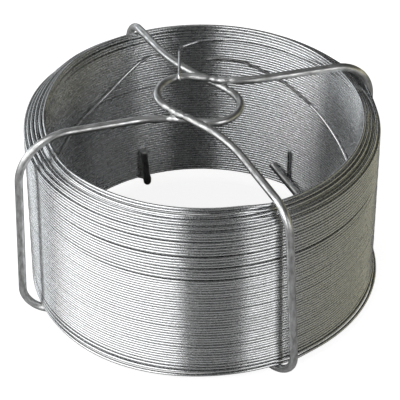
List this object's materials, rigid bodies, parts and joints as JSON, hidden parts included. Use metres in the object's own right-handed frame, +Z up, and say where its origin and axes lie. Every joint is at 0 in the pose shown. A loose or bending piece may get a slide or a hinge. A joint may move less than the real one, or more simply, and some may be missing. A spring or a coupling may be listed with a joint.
{
  "type": "coil of galvanised wire",
  "caption": "Coil of thin galvanised steel wire wound in even turns around an open bore, held by a carrier of two bent wires with a ring in the middle.",
  "frame": {"origin": "on the coil's axis at the level of the floor that the carrier's lower runs stand on", "axes": "+Z up along the coil's axis, through the carrier's ring; -Y faces the viewer of the picture, +X to the viewer's right"},
  "size_m": [0.1223, 0.118, 0.0764],
  "materials": {
    "coil_wire": "galvanised thin wire, satin with bright bands",
    "carrier_wire": "galvanised drawn wire, bright"
  },
  "bodies": {
    "root": {"wire_coil": "coil_wire", "lower_carrier_wire": "carrier_wire", "upper_carrier_wire": "carrier_wire"}
  },
  "joints": []
}
